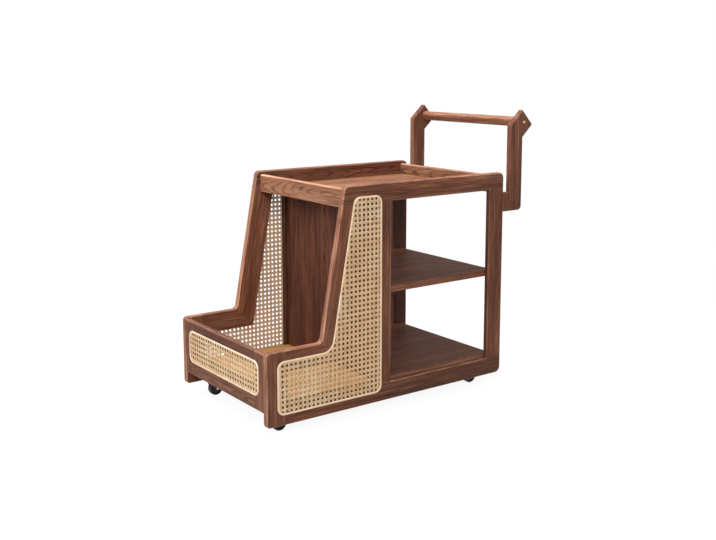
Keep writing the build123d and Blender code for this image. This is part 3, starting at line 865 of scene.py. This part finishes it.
# %% Black nylon, zinc and brass
def black_nylon():
    material, shader, place = new_finish("black_nylon", specular_ior_level=0.3)
    scuff = grainy(place, 420.0, 3.0)
    dusty = grainy(place, 90.0).between(0.45, 0.8)
    drive(shader, "Base Color", dusty.mixed(colour(9, 9, 10), colour(20, 19, 19)))
    drive(shader, "Roughness", 0.26 + scuff * 0.14)
    drive(shader, "Normal", bump(place, scuff, 0.08, 0.1 * MM))
    return material


def zinc(name, light, dark):
    """Zinc plating, bright or turned black in a bath of salts."""
    material, shader, place = new_finish(name, metallic=1.0)
    cloud = grainy(place, 160.0, 3.0).between(0.3, 0.7)
    rolled = grainy(place, (300, 3200, 3200))
    drive(shader, "Base Color", cloud.mixed(light, dark))
    drive(shader, "Roughness", 0.22 + rolled * 0.16)
    drive(shader, "Normal", bump(place, rolled, 0.06, 0.1 * MM))
    return material


def brass():
    material, shader, place = new_finish("satin_brass", metallic=1.0)
    cloud = grainy(place, 300.0, 3.0)
    yellow = cloud.between(0.3, 0.7).mixed(colour(226, 205, 158), colour(204, 176, 122))
    drive(shader, "Base Color", yellow)
    drive(shader, "Roughness", 0.26 + cloud * 0.14)
    return material


NYLON, BRASS = black_nylon(), brass()
ZINC = zinc("bright_zinc", colour(206, 208, 210), colour(178, 181, 186))
BLACK_ZINC = zinc("black_zinc", colour(52, 52, 55), colour(36, 36, 38))
for caster, wheel in wheels.items():
    wheel.data.materials.append(NYLON)
    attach(wheel, caster + "_wheel")
    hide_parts(caster + "_caster_wheel")
    dress(BLACK_ZINC, caster + "_caster_fork")
    dress(ZINC, caster + "_caster_axle")
dress(ZINC, "caster_plates")
print("casters finished")

# %% [markdown]
# Screws hold the caster plates to their battens, and two larger ones hold the handle bar. A cross
# could be cut out of a dome, but such a cut leaves ragged faces. Here each head is a round grid
# whose height dips where the recess is, so the recess is real and still one clean surface.

# %% Screw heads
SPOKES, RINGS = 48, 9
SLOT, SLOT_WALL, END_WALL, DOME = 0.17, 0.06, 0.12, 0.92


class Head(NamedTuple):
    """A screw head: its radius and height, and the depth and half length of its cross."""
    radius: float
    height: float
    dip: float
    arm: float


def round_about(radius, spoke):
    angle = 2 * math.pi * spoke / SPOKES
    return radius * math.cos(angle), radius * math.sin(angle)


def head_corners(head):
    """The middle, the rings of the dome with its cross recess, and the rim underneath."""
    radius = head.radius
    yield Vector((0, 0, head.height - head.dip))
    for ring in range(1, RINGS + 1):
        r = radius * (ring / RINGS)
        for spoke in range(SPOKES):
            x, y = round_about(r, spoke)
            thin, reach = min(abs(x), abs(y)), max(abs(x), abs(y))
            cross = max(0, min(1, (SLOT * radius - thin) / (SLOT_WALL * radius)))
            cross *= max(0, min(1, (head.arm - reach) / (END_WALL * radius)))
            dome = head.height * math.sqrt(max(0.0, 1 - (DOME * r / radius) ** 2))
            yield Vector((x, y, dome - head.dip * cross))
    for spoke in range(SPOKES):
        yield Vector((*round_about(radius, spoke), 0))


def head_faces():
    """Fans at the middle, bands between the rings and down to the rim, and one face underneath."""
    for spoke in range(SPOKES):
        yield 0, 1 + spoke, 1 + (spoke + 1) % SPOKES
    for ring in range(RINGS):
        for spoke in range(SPOKES):
            a = 1 + ring * SPOKES + spoke
            b = 1 + ring * SPOKES + (spoke + 1) % SPOKES
            yield a, a + SPOKES, b + SPOKES, b
    yield tuple(1 + RINGS * SPOKES + spoke for spoke in reversed(range(SPOKES)))


def screws(name, head, places):
    """Several heads as one piece, each with its turn and its place."""
    verts, faces = [], []
    for turn, place in places:
        faces += [tuple(k + len(verts) for k in loop) for loop in head_faces()]
        verts += [turn @ corner + place for corner in head_corners(head)]
    piece = new_piece(name, verts, faces, crisp=40)
    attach(piece, "table")
    return piece


print(len(list(head_faces())), "faces on a head")

# %% [markdown]
# Four screws go up through each caster plate, at the corners of a square round the kingpin. A hand
# that drives screws leaves every cross at another angle, so each head gets a turn of its own. The
# handle's two screws stand out of the outer faces of its arms, on the axis of the bar.

# %% Drive the screws
PLATE_UNDER = 45 * MM
SCREW_OUT = 15.5 * MM
PLATE_HEAD = Head(radius=2.9 * MM, height=1.5 * MM, dip=0.9 * MM, arm=1.9 * MM)
BAR_HEAD = Head(radius=3.5 * MM, height=1.6 * MM, dip=0.9 * MM, arm=2.2 * MM)
DOWN = Matrix.Rotation(math.pi, 3, "X")
plate_places = []
for joint in frame["joints"]:
    if joint["name"].endswith("_swivel"):
        kingpin = Vector((*joint["pos_m"][:2], PLATE_UNDER))
        for sx in (-1, 1):
            for sy in (-1, 1):
                turn = Matrix.Rotation(0.4 + 1.3 * sx + 0.7 * sy + 9 * kingpin.x, 3, "Z")
                plate_places.append((DOWN @ turn, kingpin + Vector((sx, sy, 0)) * SCREW_OUT))
plate_screws = screws("plate_screws", PLATE_HEAD, plate_places)
plate_screws.data.materials.append(ZINC)

low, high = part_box("handle_bar")
bar_places = []
for sign in (-1, 1):
    turn = Matrix.Rotation(-sign * math.pi / 2, 3, "X") @ Matrix.Rotation(0.5 + 0.4 * sign, 3, "Z")
    bar_places.append((turn, (low + high) / 2 + Vector((0, sign * side_plane, 0))))
bar_screws = screws("handle_screw_heads", BAR_HEAD, bar_places)
bar_screws.data.materials.append(BRASS)
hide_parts("handle_screws")
print(len(plate_places) + len(bar_places), "screw heads")

# %% [markdown]
# The table stands on a plain white floor that runs out of sight. A large lit backdrop would do,
# but it would light the object too much. Light Path tells the rays of the camera, and of
# mirror-like surfaces, from the light that falls on the object: only the first see the floor and
# the sky as pure white. Near the table the floor is also a little matt, and so keeps its shadow.

# %% Floor and sky
FLOOR_BOUNCE, SKY_LIGHT = 0.42, 0.33
PAPER, PAPER_GLOW = 0.14, 0.92
FADE_FROM, FADE_TO = 0.75, 1.9
FLOOR_REACH = 30


def seen_rays(start):
    """1 for rays of the camera, and for those that a mirror or a glass sends on."""
    camera = start.make("LightPath", {}, {}, "Is Camera Ray")
    return camera.largest(camera.other("Is Glossy Ray"), camera.other("Is Transmission Ray"))


def floor_finish():
    """White paper: it bounces a little light, and fades to pure white far from the table."""
    material, shader, place = new_finish("studio_floor", roughness=0.8, specular_ior_level=0.0)
    tree = material.node_tree
    shader.inputs["Base Color"].default_value = grey(FLOOR_BOUNCE)
    distance = place.make("VectorMath", {"operation": "LENGTH"}, {0: place}, "Value")
    matt = place.make("BsdfDiffuse", {}, {"Color": grey(PAPER)})
    lift = place.make("Emission", {}, {"Color": grey(1), "Strength": PAPER_GLOW})
    paper = place.make("AddShader", {}, {0: matt, 1: lift})
    white = place.make("Emission", {}, {"Color": grey(1), "Strength": 1.0})
    faded = place.make("MixShader", {}, {0: distance.between(FADE_FROM, FADE_TO), 1: paper, 2: white})
    both = place.make("MixShader", {}, {0: seen_rays(place), 1: Wire(tree, shader.outputs[0]), 2: faded})
    tree.links.new(both.socket, tree.nodes["Material Output"].inputs["Surface"])
    return material


corners = [(x * FLOOR_REACH, y * FLOOR_REACH, 0) for x, y in ((-1, -1), (1, -1), (1, 1), (-1, 1))]
floor = new_piece("studio_floor", corners, [(0, 1, 2, 3)])
floor.data.materials.append(floor_finish())

world = bpy.data.worlds.new("studio_sky")
bpy.context.scene.world = world
world.use_nodes = True
sky = seen_rays(Wire(world.node_tree)).mixed(grey(SKY_LIGHT), grey(1))
drive(world.node_tree.nodes["Background"], "Color", sky)
print("floor and sky set")

# %% [markdown]
# Three large soft lamps light the table: one beside the camera for the side, one before the bin
# for its front, and one overhead for the tray. Together with the floor and the sky, they are at a
# level where a colour looks as it is written. Large discs give the soft edges of a studio.

# %% Lamps
LAMPS = {
    "side_lamp": ((-1.7, -2.8, 2.2), 1.8, 72),
    "front_lamp": ((-3.0, 0.6, 1.9), 1.6, 43),
    "top_lamp": ((-0.4, 0.2, 3.0), 1.8, 52),
}
LIT = Vector((0, 0, 0.3))
for name, (place, size, power) in LAMPS.items():
    data = bpy.data.lights.new(name, "AREA")
    data.shape, data.size, data.energy = "DISK", size, power
    light = bpy.data.objects.new(name, data)
    light.location = place
    light.rotation_euler = (LIT - Vector(place)).to_track_quat("-Z", "Y").to_euler()
    bpy.context.scene.collection.objects.link(light)
print(len(LAMPS), "lamps")

# %% [markdown]
# The camera stands where the photographer stood: left of the bin, a little above the tray,
# 2.5 m away. Place, lens and tilt come from fitting the straight edges of the solid model to the
# same edges in the photograph. The small vertical shift keeps the uprights as upright as there.

# %% Camera
YAW, TILT = math.radians(36.2), math.radians(8.5)
eye = bpy.data.objects.new("camera", bpy.data.cameras.new("camera"))
eye.location = (-1.45081, -1.9735, 0.8190)
look = Vector((math.sin(YAW) * math.cos(TILT), math.cos(YAW) * math.cos(TILT), -math.sin(TILT)))
eye.rotation_euler = look.to_track_quat("-Z", "Y").to_euler()
eye.data.sensor_width = 36
eye.data.lens = 49.66
eye.data.shift_y = -0.0835
bpy.context.scene.collection.objects.link(eye)
bpy.context.scene.camera = eye
bpy.context.scene.view_settings.view_transform = "Standard"
print("camera", round(eye.location.length, 2), "m from the middle of the table's foot")

# %% [markdown]
# The dressed table should fill the same box as its solid model. Both boxes are written down before

# %% The end
bpy.context.view_layer.update()
